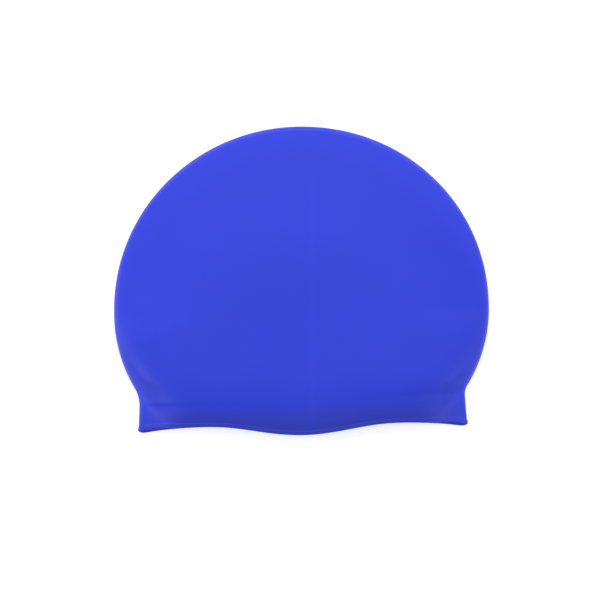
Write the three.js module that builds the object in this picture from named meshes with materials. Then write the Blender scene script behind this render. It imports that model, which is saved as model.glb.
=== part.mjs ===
// A moulded silicone swim cap, lying on its side as it rests on a table. All lengths are in millimetres.
// +X runs across the mouth, from the forehead fold to the nape fold, +Y from the hem to the crown, +Z up.
// The cap is one hollow skin with a rolled lip round its mouth. It is laid out as rings that go round the
// skin, over the upper layer and back under the lower one, from the crown's tip to the hem.
import * as THREE from "three";

// Outline, seen from above
const crownHalfWidth = 112.5;
const crownRise = 109.5; // from the widest line up to the crown's tip
const flankRadius = 87.6; // the arc from the widest line down to the neck
// Each side's own values. square is the power that makes the crown fuller than an ellipse, drop the
// straight run below the widest line, turn the degrees that the flank turns in, neckRadius the hollow
// under it, and flare and tabLength the lean and length of the tab that runs on down to the hem's corner.
const leftSide = { out: -1, square: 1, drop: 2.8, turn: 30.8, neckRadius: 20, flare: 1.5, tabLength: 15.4 };
const rightSide = { out: 1, square: 0.98, drop: 0, turn: 31.5, neckRadius: 10, flare: 4.7, tabLength: 17.6 };

// Hem, seen from above: it arches up beside the corners and dips in the middle to cover the ear. A
// sharpness is the power of the distance from the middle that brings a form in: the higher it is, the
// nearer to the corner the form begins.
const hemArch = 2.2;
const upperArchSharpness = 24;
const lowerArchSharpness = 3.5;
const earDip = 6.1;
const earDipShare = 0.58; // half the dip's width, as a share of the mouth's half width
const lowerPeek = 2; // the lower layer hangs out below the upper one beside the corners
const peekSharpness = 12;
const peekEndSharpness = 52;
const waveStart = 0.25; // where the hem's wave begins, from the widest line (0) to the hem (1)

// Skin and lip
const wall = 1.0;
const foldInnerRadius = 1.2; // inside of the fold at the hem's corners
const lipWidth = 2.4;
const lipProud = 0.4; // how far the lip stands out of the outer face
const lipInside = 0.2; // how far it stands into the mouth
const lipRamp = 0.6; // run over which the lip rises from the wall
const lipEdgeRound = 0.35; // how far the edge's corners are rounded back
const lipLift = 16; // how far from the hem the lip still lifts the lower layer

// Height above the table
const crownFoldRadius = 3.2; // outside of the fold round the crown
const puff = 10; // rise of the upper layer above the folds

// The form of the rings. at is the way from the widest line (0) to the hem (1), and the crown's tip comes
// at nearly -1.5. lift is the upper layer's rise as a share of puff. edge and taper shape that rise from
// the middle out to the folds: a higher edge keeps it level further out, and a higher taper leaves a
// broader flat strip beside the folds. fold is how far the fold's radius is from the hem's to the crown's.
const sections = [
  { at: -1.5, lift: 1.0, edge: 2.0, taper: 1.5, fold: 1.0 },
  { at: -0.6, lift: 1.0, edge: 2.2, taper: 1.3, fold: 1.0 },
  { at: 0.0, lift: 1.0, edge: 4.0, taper: 0.9, fold: 1.0 },
  { at: 0.3, lift: 1.05, edge: 9.0, taper: 0.8, fold: 0.9 },
  { at: 0.5, lift: 1.11, edge: 11.0, taper: 1.0, fold: 0.7 },
  { at: 0.65, lift: 1.12, edge: 12.0, taper: 1.6, fold: 0.45 },
  { at: 0.78, lift: 1.01, edge: 12.0, taper: 3.2, fold: 0.2 },
  { at: 0.9, lift: 0.76, edge: 12.0, taper: 6.5, fold: 0.05 },
  { at: 1.0, lift: 0.35, edge: 12.0, taper: 9.0, fold: 0.0 },
];

// How finely the skin is divided
const columns = 48;
const crownSteps = 20;
const flankSteps = 6;
const neckSteps = 4;
const tabSteps = 4;

const hemFoldRadius = wall + foldInnerRadius;

const smoothstep = (low, high, value) => {
  const t = THREE.MathUtils.clamp((value - low) / (high - low), 0, 1);
  return t * t * (3 - 2 * t);
};

// A quarter of a circle: 0 at the fold, 1 from one radius inwards
const quarterRound = (distance) => {
  const t = Math.min(distance, 1);
  return Math.sqrt(1 - (1 - t) * (1 - t));
};

// The slope of a table's column at row i, level at the crown's tip
function slopeAt(i, key) {
  if (i === 0) return 0;
  const before = sections[i - 1];
  const after = sections[Math.min(i + 1, sections.length - 1)];
  return (after[key] - before[key]) / (after.at - before.at);
}

// A column of the sections table, joined by smooth cubic curves
function formAt(key, at) {
  let i = 0;
  while (i < sections.length - 2 && at > sections[i + 1].at) i += 1;
  const run = sections[i + 1].at - sections[i].at;
  const t = (at - sections[i].at) / run;
  const from = sections[i][key];
  const to = sections[i + 1][key];
  return (
    from * (2 * t ** 3 - 3 * t ** 2 + 1) +
    to * (3 * t ** 2 - 2 * t ** 3) +
    slopeAt(i, key) * run * (t ** 3 - 2 * t ** 2 + t) +
    slopeAt(i + 1, key) * run * (t ** 3 - t ** 2)
  );
}

// The fold on one side, stretch by stretch. Each is tangent to the one before it.
function crownFold(side, turn) {
  const out = crownHalfWidth * Math.sin(turn) ** side.square;
  return new THREE.Vector2(side.out * out, crownRise * Math.max(Math.cos(turn), 0) ** side.square);
}

function flankFold(side, share) {
  const turn = THREE.MathUtils.degToRad(side.turn) * share;
  const centre = crownHalfWidth - flankRadius;
  return new THREE.Vector2(
    side.out * (centre + flankRadius * Math.cos(turn)),
    -side.drop - flankRadius * Math.sin(turn),
  );
}

function neckFold(side, share) {
  const entry = THREE.MathUtils.degToRad(side.turn);
  const turn = THREE.MathUtils.degToRad(side.turn + side.flare) * share;
  const start = flankFold(side, 1);
  const out = side.neckRadius * (Math.cos(entry) - Math.cos(entry - turn));
  const down = side.neckRadius * (Math.sin(entry) - Math.sin(entry - turn));
  return new THREE.Vector2(start.x + side.out * out, start.y - down);
}

function tabFold(side, along) {
  const flare = THREE.MathUtils.degToRad(side.flare);
  const start = neckFold(side, 1);
  return new THREE.Vector2(start.x + side.out * along * Math.sin(flare), start.y - along * Math.cos(flare));
}

// A ring is the two points where it meets the folds, the crown's rise at it (1 from the widest line on),
// how far the lip stands proud of the outer face and inside the inner one, and its distance to the hem.
function ring(foldPoint, { rise = 1, proud = 0, inside = 0, hemGap = Infinity } = {}) {
  return { left: foldPoint(leftSide), right: foldPoint(rightSide), rise, proud, inside, hemGap };
}

function tabRing(hemGap, lip = {}) {
  return ring((side) => tabFold(side, side.tabLength - hemGap), { ...lip, hemGap });
}

function makeRings() {
  const rings = [];
  for (let i = 1; i <= crownSteps; i += 1) {
    const turn = ((Math.PI / 2) * i) / crownSteps;
    rings.push(ring((side) => crownFold(side, turn), { rise: Math.sin(turn) }));
  }
  for (let i = 1; i <= flankSteps; i += 1) {
    rings.push(ring((side) => flankFold(side, i / flankSteps)));
  }
  for (let i = 1; i <= neckSteps; i += 1) {
    rings.push(ring((side) => neckFold(side, i / neckSteps)));
  }
  const lipStart = lipWidth + lipRamp;
  const shortTab = Math.min(leftSide.tabLength, rightSide.tabLength);
  for (let i = 1; i <= tabSteps; i += 1) {
    rings.push(tabRing(lipStart + (shortTab - lipStart) * (1 - i / tabSteps)));
  }
  rings.push(tabRing(lipWidth, { proud: lipProud, inside: lipInside }));
  rings.push(tabRing(lipEdgeRound, { proud: lipProud, inside: lipInside }));
  rings.push(tabRing(0, { proud: lipProud - lipEdgeRound, inside: lipInside - lipEdgeRound }));
  const hem = rings.at(-1);
  for (const each of rings) {
    each.at = (each.left.y + each.right.y) / (hem.left.y + hem.right.y);
  }
  return rings;
}

// How far a layer's hem lies towards the crown from the straight line between its corners
function hemWave(across, isUpper) {
  const share = Math.abs(across);
  const arch = hemArch * (1 - share ** (isUpper ? upperArchSharpness : lowerArchSharpness));
  const peek = isUpper ? 0 : lowerPeek * (share ** peekSharpness - share ** peekEndSharpness);
  const dipTurn = (Math.PI / 2) * Math.min(share / earDipShare, 1);
  return arch - peek - earDip * Math.cos(dipTurn) ** 2;
}

// A point of the face, without the lip. across runs from -1 at the left fold to 1 at the right one.
function facePoint(each, across, isUpper) {
  const flat = each.left.clone().lerp(each.right, (1 + across) / 2);
  const wave = hemWave(across, isUpper) * smoothstep(waveStart, 1, each.at);
  const open = 1 - across * across;
  const reach = each.rise < 1 ? crownHalfWidth : (each.right.x - each.left.x) / 2;
  const fromMiddle = Math.sqrt(1 - each.rise ** 2 * open);
  const radius = THREE.MathUtils.lerp(hemFoldRadius, crownFoldRadius, formAt("fold", each.at));
  const bend = radius * quarterRound((reach * (1 - fromMiddle)) / radius);
  const level = (1 - fromMiddle ** formAt("edge", each.at)) ** formAt("taper", each.at);
  const foldZ = radius + lipProud * smoothstep(lipLift, lipWidth + lipRamp, each.hemGap);
  const z = foldZ + (isUpper ? bend + puff * formAt("lift", each.at) * level : -bend);
  return new THREE.Vector3(flat.x, flat.y + wave, z);
}

// The triangles of a ring-by-ring face, from the tip's point 0 outwards
function faceTriangles(ringCount) {
  const triangles = [];
  const index = (row, column) => 1 + row * columns + (column % columns);
  for (let column = 0; column < columns; column += 1) {
    triangles.push([0, index(0, column + 1), index(0, column)]);
    for (let row = 0; row + 1 < ringCount; row += 1) {
      const [a, b] = [index(row, column), index(row, column + 1)];
      const [c, d] = [index(row + 1, column), index(row + 1, column + 1)];
      triangles.push([a, b, c], [b, d, c]);
    }
  }
  return triangles;
}

// Each point's outward direction, averaged from the triangles around it
function faceNormals(points, triangles) {
  const geometry = new THREE.BufferGeometry().setFromPoints(points);
  geometry.setIndex(triangles.flat());
  geometry.computeVertexNormals();
  const normals = geometry.getAttribute("normal");
  return points.map((_, i) => new THREE.Vector3().fromBufferAttribute(normals, i));
}

function makeShell() {
  const rings = makeRings();
  const base = [new THREE.Vector3(0, crownRise, crownFoldRadius)];
  for (const each of rings) {
    for (let column = 0; column < columns; column += 1) {
      const turn = (2 * Math.PI * column) / columns;
      base.push(facePoint(each, Math.cos(turn), column <= columns / 2));
    }
  }
  const face = faceTriangles(rings.length);
  const normals = faceNormals(base, face);
  const ringOf = (i) => rings[Math.max(Math.floor((i - 1) / columns), 0)];
  const outer = base.map((p, i) => p.clone().addScaledVector(normals[i], ringOf(i).proud));
  const inner = base.map((p, i) => p.clone().addScaledVector(normals[i], -wall - ringOf(i).inside));

  const count = base.length;
  const hemStart = count - columns;
  const triangles = [...face, ...face.map(([a, b, c]) => [a + count, c + count, b + count])];
  for (let column = 0; column < columns; column += 1) {
    const [a, b] = [hemStart + column, hemStart + ((column + 1) % columns)];
    triangles.push([a, b, a + count], [b, b + count, a + count]);
  }
  const geometry = new THREE.BufferGeometry().setFromPoints([...outer, ...inner]);
  geometry.setIndex(triangles.flat());
  return geometry;
}

// Puts the middle of the cap's footprint at the origin, on the table.
function centreOnTable(geometry) {
  geometry.computeBoundingBox();
  const { min, max } = geometry.boundingBox;
  return geometry.translate(-(min.x + max.x) / 2, -(min.y + max.y) / 2, -min.z);
}

const silicone = new THREE.MeshStandardMaterial({ color: 0x3d49da, roughness: 0.5, metalness: 0 });

const shell = new THREE.Mesh(centreOnTable(makeShell()), silicone);
shell.name = "cap_shell";

const cap = new THREE.Group();
cap.add(shell);

export default cap;
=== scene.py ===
# A royal-blue moulded silicone swim cap, lying on its side on a white table. All lengths are in metres.
# +X runs across the mouth, from the forehead fold to the nape fold, +Y from the hem to the crown, +Z up.
import math

import bpy
import numpy as np
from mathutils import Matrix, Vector


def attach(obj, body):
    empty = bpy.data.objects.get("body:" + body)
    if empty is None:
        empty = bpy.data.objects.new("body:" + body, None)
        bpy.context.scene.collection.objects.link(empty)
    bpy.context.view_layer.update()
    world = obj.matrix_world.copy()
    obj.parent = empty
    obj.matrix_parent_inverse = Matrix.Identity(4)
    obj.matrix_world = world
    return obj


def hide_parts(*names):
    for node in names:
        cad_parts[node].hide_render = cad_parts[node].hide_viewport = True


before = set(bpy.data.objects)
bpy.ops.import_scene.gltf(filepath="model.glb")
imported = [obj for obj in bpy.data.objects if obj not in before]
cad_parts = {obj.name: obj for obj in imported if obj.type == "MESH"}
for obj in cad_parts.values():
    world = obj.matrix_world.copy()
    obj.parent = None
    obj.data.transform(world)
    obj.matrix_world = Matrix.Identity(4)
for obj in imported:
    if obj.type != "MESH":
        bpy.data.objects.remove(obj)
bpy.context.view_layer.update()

MM = 0.001

# Outline, seen from above
CROWN_HALF_WIDTH = 112.5 * MM
CROWN_RISE = 109.5 * MM  # from the widest line up to the crown's tip
FLANK_RADIUS = 87.6 * MM  # the arc from the widest line down to the neck
# Each side's own values: the power that makes the crown fuller than an ellipse, the straight run below
# the widest line, the degrees that the flank turns in, the hollow under it, and the lean and length of
# the tab that runs on down to the hem's corner
LEFT = dict(out=-1, square=1, drop=2.8 * MM, turn=30.8, neck_radius=20 * MM, flare=1.5, tab=15.4 * MM)
RIGHT = dict(out=1, square=0.98, drop=0, turn=31.5, neck_radius=10 * MM, flare=4.7, tab=17.6 * MM)

# Hem, seen from above: it arches up beside the corners and dips in the middle to cover the ear. A
# sharpness is the power of the distance from the middle that brings a form in.
HEM_ARCH = 2.2 * MM
UPPER_ARCH_SHARPNESS = 24
LOWER_ARCH_SHARPNESS = 3.5
EAR_DIP = 6.1 * MM
EAR_DIP_SHARE = 0.58  # half the dip's width, as a share of the mouth's half width
LOWER_PEEK = 2 * MM  # the lower layer hangs out below the upper one beside the corners
PEEK_SHARPNESS = 12
PEEK_END_SHARPNESS = 52
WAVE_START = 0.25  # where the hem's wave begins, from the widest line (0) to the hem (1)

# Skin and lip
WALL = 1.0 * MM
FOLD_INNER_RADIUS = 1.2 * MM  # inside of the fold at the hem's corners
LIP_WIDTH = 2.4 * MM
LIP_PROUD = 0.4 * MM
LIP_INSIDE = 0.2 * MM
LIP_RAMP = 0.6 * MM  # run over which the lip rises from the wall
LIP_LIFT = 16 * MM  # how far from the hem the lip still lifts the lower layer
LIP_EDGE_TURN = 84  # degrees that the round edge turns on each of its two sides

# Height above the table
CROWN_FOLD_RADIUS = 3.2 * MM  # outside radius of the fold round the crown
PUFF = 10 * MM  # rise of the upper layer above the folds

# The form of the rings from the crown's tip (nearly at -1.5) over the widest line (0) to the hem (1), as
# in the solid model
SECTION_AT = (-1.5, -0.6, 0.0, 0.3, 0.5, 0.65, 0.78, 0.9, 1.0)
SECTION_LIFT = (1.0, 1.0, 1.0, 1.05, 1.11, 1.12, 1.01, 0.76, 0.35)
SECTION_EDGE = (2.0, 2.2, 4.0, 9.0, 11.0, 12.0, 12.0, 12.0, 12.0)
SECTION_TAPER = (1.5, 1.3, 0.9, 0.8, 1.0, 1.6, 3.2, 6.5, 9.0)
SECTION_FOLD = (1.0, 1.0, 1.0, 0.9, 0.7, 0.45, 0.2, 0.05, 0.0)

# How finely the skin is divided
COLUMNS = 320
CROWN_STEPS = 76
FLANK_STEPS = 24
NECK_STEPS = 12
TAB_STEPS = 12
LIP_STEPS = 5

# The photograph's view: straight down, with the frame's middle over this point of the table
CAMERA_OVER = (-0.9 * MM, -11.6 * MM)
CAMERA_HEIGHT = 1.0
FRAME_WIDTH = 361.3 * MM  # what the frame spans on the table
SENSOR_WIDTH = 36

# Silicone: linear colours. It is painted paler where the skin lies low, a painted glow of light from the
# white table, and painted darker along the band by the hem, painted shade where the band slopes down.
SKIN_BLUE = (0.01, 0.0275, 0.525)
CLOUD_BLUE = (0.0135, 0.032, 0.565)
PAINTED_LIGHT_BLUE = (0.019, 0.038, 0.615)
BAND_SHADE_BLUE = (0.0135, 0.0295, 0.42)
PAINTED_LIGHT_FROM = 4.5 * MM  # height where the painted light is strongest and the skin palest
PAINTED_LIGHT_TO = 9 * MM
BAND_SHADE_START = -72 * MM  # where along the cap the band's painted shade begins and is deepest
BAND_SHADE_END = -82 * MM
BAND_SHADE_SIDE_START = 80 * MM  # the same to each side
BAND_SHADE_SIDE_END = 66 * MM
BAND_SHADE_SIDE_SHARE = 0.62  # of the painted shade's depth is left in the tabs
BAND_SHADE_TILT = 0.035  # the band's line runs a little uphill to the nape

# A faint upright crease from packing, with a painted highlight along it, and the grain
CREASE_AT = 6.5 * MM
CREASE_HALF_WIDTH = 3 * MM
CREASE_HIGHLIGHT_SHARE = 0.16  # how far the crease turns to the pale colour: a painted highlight along it
CREASE_LEAST = 0.25  # what is left of the crease between the clouds
CREASE_CLOUDS = (0.4, 0.6)  # the clouds' values between which it comes out
CREASE_HEIGHT = 0.03 * MM
GRAIN_HEIGHT = 0.012 * MM

# Clouds, gloss and grain. A scale is in patches for each metre, and a range is of the patches' values.
CLOUD_SCALE = 28
CLOUD_DETAIL = 3
CLOUD_RANGE = (0.35, 0.75)
CLOUD_SHARE = 0.5  # how far the clouds turn to their own colour
GLOSS_SCALE = 60
GLOSS_RANGE = (0.3, 0.7)
GRAIN_SCALE = 2600
FINE_DETAIL = 2  # of the gloss and the grain
ROUGHNESS = (0.47, 0.54)
SILICONE_IOR = 1.41

# The white light table
TABLE_HALF_WIDTH = 8
TABLE_WHITE = 0.8
TABLE_ROUGHNESS = 0.7
TABLE_GLOW = 0.35

# Soft boxes that shine at the cap: where each is, the length of its sides, and its power in watts
LIGHTS = {
    "overhead_light": ((0, 0, 2.2), 2.0, 10.5),
    "back_light": ((0, 1.7, 1.4), 1.4, 17),
    "back_left_light": ((-1.3, 1.4, 0.85), 1.0, 13),
    "back_right_light": ((1.3, 1.4, 0.85), 1.0, 12),
    "left_light": ((-2.1, 0, 0.6), 0.8, 10),
    "right_light": ((2.1, 0, 0.6), 0.8, 4),
    "front_left_light": ((-1.4, -0.9, 1.2), 0.6, 9),
    "front_right_light": ((1.4, -0.9, 1.2), 0.6, 7.5),
}
STUDIO_GLOW = 0.38

HEM_FOLD_RADIUS = WALL + FOLD_INNER_RADIUS
FAR_FROM_HEM = 1.0  # stands for the distance to the hem on the rings above the tab


def smoothstep(low, high, value):
    t = np.clip((value - low) / (high - low), 0, 1)
    return t * t * (3 - 2 * t)


def quarter_round(distance):
    """A quarter of a circle: 0 at the fold, 1 from one radius inwards."""
    t = np.minimum(distance, 1)
    return np.sqrt(1 - (1 - t) ** 2)


def form_at(column, at):
    """A column of the sections, joined by smooth cubic curves that start level at the crown's tip."""
    places = np.array(SECTION_AT)
    values = np.array(column)
    slopes = np.zeros(len(values))
    slopes[1:-1] = (values[2:] - values[:-2]) / (places[2:] - places[:-2])
    slopes[-1] = (values[-1] - values[-2]) / (places[-1] - places[-2])
    i = np.clip(np.searchsorted(places, at, side="right") - 1, 0, len(places) - 2)
    run = places[i + 1] - places[i]
    t = (at - places[i]) / run
    return (
        values[i] * (2 * t**3 - 3 * t**2 + 1)
        + values[i + 1] * (3 * t**2 - 2 * t**3)
        + slopes[i] * run * (t**3 - 2 * t**2 + t)
        + slopes[i + 1] * run * (t**3 - t**2)
    )


# The fold on one side, stretch by stretch. Each is tangent to the one before it.
def crown_fold(side, turn):
    x = side["out"] * CROWN_HALF_WIDTH * math.sin(turn) ** side["square"]
    return x, CROWN_RISE * max(math.cos(turn), 0) ** side["square"]


def flank_fold(side, share):
    turn = math.radians(side["turn"]) * share
    centre = CROWN_HALF_WIDTH - FLANK_RADIUS
    x = side["out"] * (centre + FLANK_RADIUS * math.cos(turn))
    return x, -side["drop"] - FLANK_RADIUS * math.sin(turn)


def neck_fold(side, share):
    entry = math.radians(side["turn"])
    turn = math.radians(side["turn"] + side["flare"]) * share
    x, y = flank_fold(side, 1)
    out = side["neck_radius"] * (math.cos(entry) - math.cos(entry - turn))
    down = side["neck_radius"] * (math.sin(entry) - math.sin(entry - turn))
    return x + side["out"] * out, y - down


def tab_fold(side, along):
    flare = math.radians(side["flare"])
    x, y = neck_fold(side, 1)
    return x + side["out"] * along * math.sin(flare), y - along * math.cos(flare)


def ring(fold_point, rise=1.0, outside=0.0, inside=WALL, hem_gap=FAR_FROM_HEM):
    """Where a ring meets the two folds, the crown's rise at it, how far its two faces lie from the skin,
    and its distance to the hem."""
    return (*fold_point(LEFT), *fold_point(RIGHT), rise, outside, inside, hem_gap)


def tab_ring(hem_gap, outside=0.0, inside=WALL):
    return ring(lambda side: tab_fold(side, side["tab"] - hem_gap), 1.0, outside, inside, hem_gap)


def lip_rings():
    """The lip swells out of the wall, runs level, and ends in a half-round edge."""
    rings = []
    for i in range(1, LIP_STEPS + 1):
        share = i / LIP_STEPS
        rise = float(smoothstep(0, 1, share))
        gap = LIP_WIDTH + LIP_RAMP * (1 - share)
        rings.append(tab_ring(gap, LIP_PROUD * rise, WALL + LIP_INSIDE * rise))
    radius = (WALL + LIP_PROUD + LIP_INSIDE) / 2
    middle = LIP_PROUD - radius
    for i in range(1, LIP_STEPS + 1):
        gap = LIP_WIDTH + (radius - LIP_WIDTH) * i / LIP_STEPS
        rings.append(tab_ring(gap, LIP_PROUD, WALL + LIP_INSIDE))
    for i in range(1, LIP_STEPS + 1):
        turn = math.radians(LIP_EDGE_TURN) * i / LIP_STEPS
        half = radius * math.cos(turn)
        rings.append(tab_ring(radius * (1 - math.sin(turn)), middle + half, half - middle))
    return rings


def make_rings():
    rings = []
    for i in range(1, CROWN_STEPS + 1):
        turn = math.pi / 2 * i / CROWN_STEPS
        rings.append(ring(lambda side: crown_fold(side, turn), math.sin(turn)))
    for i in range(1, FLANK_STEPS + 1):
        rings.append(ring(lambda side: flank_fold(side, i / FLANK_STEPS)))
    for i in range(1, NECK_STEPS + 1):
        rings.append(ring(lambda side: neck_fold(side, i / NECK_STEPS)))
    lip_start = LIP_WIDTH + LIP_RAMP
    short_tab = min(LEFT["tab"], RIGHT["tab"])
    for i in range(1, TAB_STEPS + 1):
        rings.append(tab_ring(lip_start + (short_tab - lip_start) * (1 - i / TAB_STEPS)))
    return np.array(rings + lip_rings())


def hem_wave(across, is_upper):
    """How far a layer's hem lies towards the crown from the straight line between its corners."""
    share = np.abs(across)
    arch = HEM_ARCH * (1 - share ** np.where(is_upper, UPPER_ARCH_SHARPNESS, LOWER_ARCH_SHARPNESS))
    peek = np.where(is_upper, 0, LOWER_PEEK * (share**PEEK_SHARPNESS - share**PEEK_END_SHARPNESS))
    dip_turn = math.pi / 2 * np.minimum(share / EAR_DIP_SHARE, 1)
    return arch - peek - EAR_DIP * np.cos(dip_turn) ** 2


def face_points(rings):
    """The outer face without the lip, as rows of points round the skin."""
    left_x, left_y, right_x, right_y, rise, _, _, hem_gap = (rings[:, [i]] for i in range(8))
    turn = 2 * math.pi * np.arange(COLUMNS)[None, :] / COLUMNS
    across = np.cos(turn)
    is_upper = np.arange(COLUMNS)[None, :] <= COLUMNS / 2
    middle_y = left_y + right_y
    at = middle_y / middle_y[-1]
    x = left_x + (right_x - left_x) * (1 + across) / 2
    y = left_y + (right_y - left_y) * (1 + across) / 2
    y = y + hem_wave(across, is_upper) * smoothstep(WAVE_START, 1, at)
    opening = 1 - across * across
    reach = np.where(rise < 1, CROWN_HALF_WIDTH, (right_x - left_x) / 2)
    from_middle = np.sqrt(np.maximum(1 - rise**2 * opening, 0))
    radius = HEM_FOLD_RADIUS + (CROWN_FOLD_RADIUS - HEM_FOLD_RADIUS) * form_at(SECTION_FOLD, at)
    bend = radius * quarter_round(reach * (1 - from_middle) / radius)
    level = (1 - from_middle ** form_at(SECTION_EDGE, at)) ** form_at(SECTION_TAPER, at)
    full = form_at(SECTION_LIFT, at) * level
    fold_z = radius + LIP_PROUD * smoothstep(LIP_LIFT, LIP_WIDTH + LIP_RAMP, hem_gap)
    z = fold_z + np.where(is_upper, bend + PUFF * full, -bend)
    return np.stack(np.broadcast_arrays(x, y, z), axis=-1)


def face_quads(ring_count):
    """The four corners of each face between two rings, with the crown's tip as point 0."""
    near = np.arange(ring_count - 1)[:, None] * COLUMNS
    far = near + COLUMNS
    column = np.arange(COLUMNS)[None, :]
    after = (column + 1) % COLUMNS
    corners = (near + column, near + after, far + after, far + column)
    quads = np.stack([np.broadcast_to(c, (ring_count - 1, COLUMNS)) for c in corners], axis=-1)
    return quads.reshape(-1, 4) + 1


def point_normals(points, quads, fan):
    """Each point's outward direction, averaged from the faces around it."""
    normals = np.zeros_like(points)
    across = np.cross(points[quads[:, 2]] - points[quads[:, 0]], points[quads[:, 3]] - points[quads[:, 1]])
    for corner in range(4):
        np.add.at(normals, quads[:, corner], across)
    tip = np.cross(points[fan[:, 1]] - points[fan[:, 0]], points[fan[:, 2]] - points[fan[:, 0]])
    for corner in range(3):
        np.add.at(normals, fan[:, corner], tip)
    return normals / np.linalg.norm(normals, axis=1, keepdims=True)


def make_cap():
    rings = make_rings()
    tip = np.array([[0, CROWN_RISE, CROWN_FOLD_RADIUS]])
    points = np.concatenate([tip, face_points(rings).reshape(-1, 3)])
    quads = face_quads(len(rings))
    columns = np.arange(COLUMNS)
    fan = np.stack([0 * columns, (columns + 1) % COLUMNS + 1, columns + 1], axis=1)
    normals = point_normals(points, quads, fan)
    outside = np.concatenate([[0], np.repeat(rings[:, 5], COLUMNS)])[:, None]
    inside = np.concatenate([[WALL], np.repeat(rings[:, 6], COLUMNS)])[:, None]
    outer = points + normals * outside
    inner = points - normals * inside

    low, high = outer.min(axis=0), outer.max(axis=0)
    middle = np.array([(low[0] + high[0]) / 2, (low[1] + high[1]) / 2, low[2]])
    count = len(points)
    hem = columns + count - COLUMNS
    hem_after = (columns + 1) % COLUMNS + count - COLUMNS
    edge = np.stack([hem, hem_after, hem_after + count, hem + count], axis=1)
    faces = [*quads.tolist(), *fan.tolist()]
    faces += [*(quads[:, ::-1] + count).tolist(), *(fan[:, ::-1] + count).tolist()]
    faces += edge.tolist()
    mesh = bpy.data.meshes.new("cap_skin")
    mesh.from_pydata((np.concatenate([outer, inner]) - middle).tolist(), [], faces)
    mesh.validate()
    mesh.shade_smooth()
    cap = bpy.data.objects.new("cap_skin", mesh)
    bpy.context.collection.objects.link(cap)
    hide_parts("cap_shell")
    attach(cap, "root")
    return cap


def noise(tree, place, scale, detail):
    """Cloudy values round 0.5. The scale is in patches for each metre."""
    made = tree.nodes.new("ShaderNodeTexNoise")
    made.inputs["Scale"].default_value = scale
    made.inputs["Detail"].default_value = detail
    tree.links.new(place, made.inputs["Vector"])
    return made.outputs["Fac"]


def remap(tree, value, start, end, low, high, smooth=False):
    """Carries a value from the range start to end over to low to high."""
    made = tree.nodes.new("ShaderNodeMapRange")
    if smooth:
        made.interpolation_type = "SMOOTHSTEP"
    tree.links.new(value, made.inputs["Value"])
    for name, amount in (("From Min", start), ("From Max", end), ("To Min", low), ("To Max", high)):
        made.inputs[name].default_value = amount
    return made.outputs["Result"]


def calculate(tree, operation, *values):
    made = tree.nodes.new("ShaderNodeMath")
    made.operation = operation
    for socket, value in zip(made.inputs, values):
        if isinstance(value, (int, float)):
            socket.default_value = value
        else:
            tree.links.new(value, socket)
    return made.outputs[0]


def mix_colors(tree, share, first, second):
    """Mixes two colours. They are inputs 6 and 7 of a Mix node, and the mixed colour is its output 2."""
    made = tree.nodes.new("ShaderNodeMix")
    made.data_type = "RGBA"
    tree.links.new(share, made.inputs["Factor"])
    for socket, color in ((made.inputs[6], first), (made.inputs[7], second)):
        if isinstance(color, tuple):
            socket.default_value = (*color, 1)
        else:
            tree.links.new(color, socket)
    return made.outputs[2]


def silicone_material():
    """Satin silicone, blue right through, with a fine grain."""
    material = bpy.data.materials.new("blue_silicone")
    material.use_nodes = True
    tree = material.node_tree
    surface = tree.nodes["Principled BSDF"]
    place = tree.nodes.new("ShaderNodeTexCoord").outputs["Object"]
    split = tree.nodes.new("ShaderNodeSeparateXYZ")
    tree.links.new(place, split.inputs["Vector"])

    clouds = noise(tree, place, CLOUD_SCALE, CLOUD_DETAIL)
    cloudy = remap(tree, clouds, *CLOUD_RANGE, 0, CLOUD_SHARE)
    color = mix_colors(tree, cloudy, SKIN_BLUE, CLOUD_BLUE)
    # Painted light: the skin turns paler where it lies low, standing in for light from the white table
    low = remap(tree, split.outputs["Z"], PAINTED_LIGHT_TO, PAINTED_LIGHT_FROM, 0, 1, smooth=True)
    color = mix_colors(tree, low, color, PAINTED_LIGHT_BLUE)
    # Painted shade: darker along the band by the hem, where it slopes down, and less in the flat tabs
    along = calculate(tree, "MULTIPLY_ADD", split.outputs["X"], -BAND_SHADE_TILT, split.outputs["Y"])
    band_shade = remap(tree, along, BAND_SHADE_START, BAND_SHADE_END, 0, 1, smooth=True)
    sideways = calculate(tree, "ABSOLUTE", split.outputs["X"])
    inside = remap(tree, sideways, BAND_SHADE_SIDE_START, BAND_SHADE_SIDE_END, BAND_SHADE_SIDE_SHARE, 1, smooth=True)
    color = mix_colors(tree, calculate(tree, "MULTIPLY", band_shade, inside), color, BAND_SHADE_BLUE)
    crease_gap = calculate(tree, "ABSOLUTE", calculate(tree, "SUBTRACT", split.outputs["X"], CREASE_AT))
    crease = remap(tree, crease_gap, CREASE_HALF_WIDTH, 0, 0, 1, smooth=True)
    crease = calculate(tree, "MULTIPLY", crease, remap(tree, clouds, *CREASE_CLOUDS, CREASE_LEAST, 1))
    # Painted highlight: the crease is painted paler along its length
    color = mix_colors(tree, calculate(tree, "MULTIPLY", crease, CREASE_HIGHLIGHT_SHARE), color, PAINTED_LIGHT_BLUE)
    tree.links.new(color, surface.inputs["Base Color"])

    patches = noise(tree, place, GLOSS_SCALE, FINE_DETAIL)
    tree.links.new(remap(tree, patches, *GLOSS_RANGE, *ROUGHNESS), surface.inputs["Roughness"])
    surface.inputs["IOR"].default_value = SILICONE_IOR

    grain = noise(tree, place, GRAIN_SCALE, FINE_DETAIL)
    grain = calculate(tree, "MULTIPLY", grain, GRAIN_HEIGHT)
    bump = tree.nodes.new("ShaderNodeBump")
    bump.inputs["Distance"].default_value = 1
    tree.links.new(calculate(tree, "MULTIPLY_ADD", crease, CREASE_HEIGHT, grain), bump.inputs["Height"])
    tree.links.new(bump.outputs["Normal"], surface.inputs["Normal"])
    return material


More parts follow.
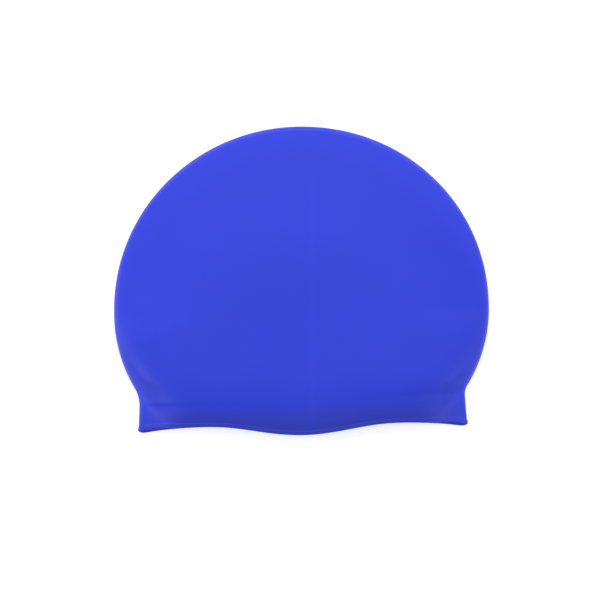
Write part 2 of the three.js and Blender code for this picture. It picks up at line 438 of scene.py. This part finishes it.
def make_floor():
    """A white light table: its own faint glow thins the shadow round the cap."""
    mesh = bpy.data.meshes.new("table_top")
    turns = ((-1, -1), (1, -1), (1, 1), (-1, 1))
    corners = [(x * TABLE_HALF_WIDTH, y * TABLE_HALF_WIDTH, 0) for x, y in turns]
    mesh.from_pydata(corners, [], [(0, 1, 2, 3)])
    floor = bpy.data.objects.new("table_top", mesh)
    bpy.context.collection.objects.link(floor)
    white = bpy.data.materials.new("white_table")
    white.use_nodes = True
    surface = white.node_tree.nodes["Principled BSDF"]
    surface.inputs["Base Color"].default_value = (TABLE_WHITE, TABLE_WHITE, TABLE_WHITE, 1)
    surface.inputs["Roughness"].default_value = TABLE_ROUGHNESS
    surface.inputs["Emission Color"].default_value = (1, 1, 1, 1)
    surface.inputs["Emission Strength"].default_value = TABLE_GLOW
    mesh.materials.append(white)


def soft_light(name, place, size, power):
    """A square soft box that shines at the cap."""
    light = bpy.data.lights.new(name, "AREA")
    light.size = size
    light.energy = power
    lamp = bpy.data.objects.new(name, light)
    lamp.location = place
    lamp.rotation_euler = (-Vector(place)).to_track_quat("-Z", "Y").to_euler()
    bpy.context.collection.objects.link(lamp)


def make_lights():
    for name, (place, size, power) in LIGHTS.items():
        soft_light(name, place, size, power)
    world = bpy.data.worlds.new("studio")
    bpy.context.scene.world = world
    world.use_nodes = True
    background = world.node_tree.nodes["Background"]
    background.inputs["Color"].default_value = (1, 1, 1, 1)
    background.inputs["Strength"].default_value = STUDIO_GLOW


def make_camera():
    camera = bpy.data.cameras.new("camera")
    camera.sensor_width = SENSOR_WIDTH
    camera.lens = SENSOR_WIDTH * CAMERA_HEIGHT / FRAME_WIDTH
    holder = bpy.data.objects.new("camera", camera)
    holder.location = (*CAMERA_OVER, CAMERA_HEIGHT)
    bpy.context.collection.objects.link(holder)
    bpy.context.scene.camera = holder


make_camera()
cap = make_cap()
cap.data.materials.append(silicone_material())
make_floor()
make_lights()
bpy.context.scene.view_settings.view_transform = "Standard"
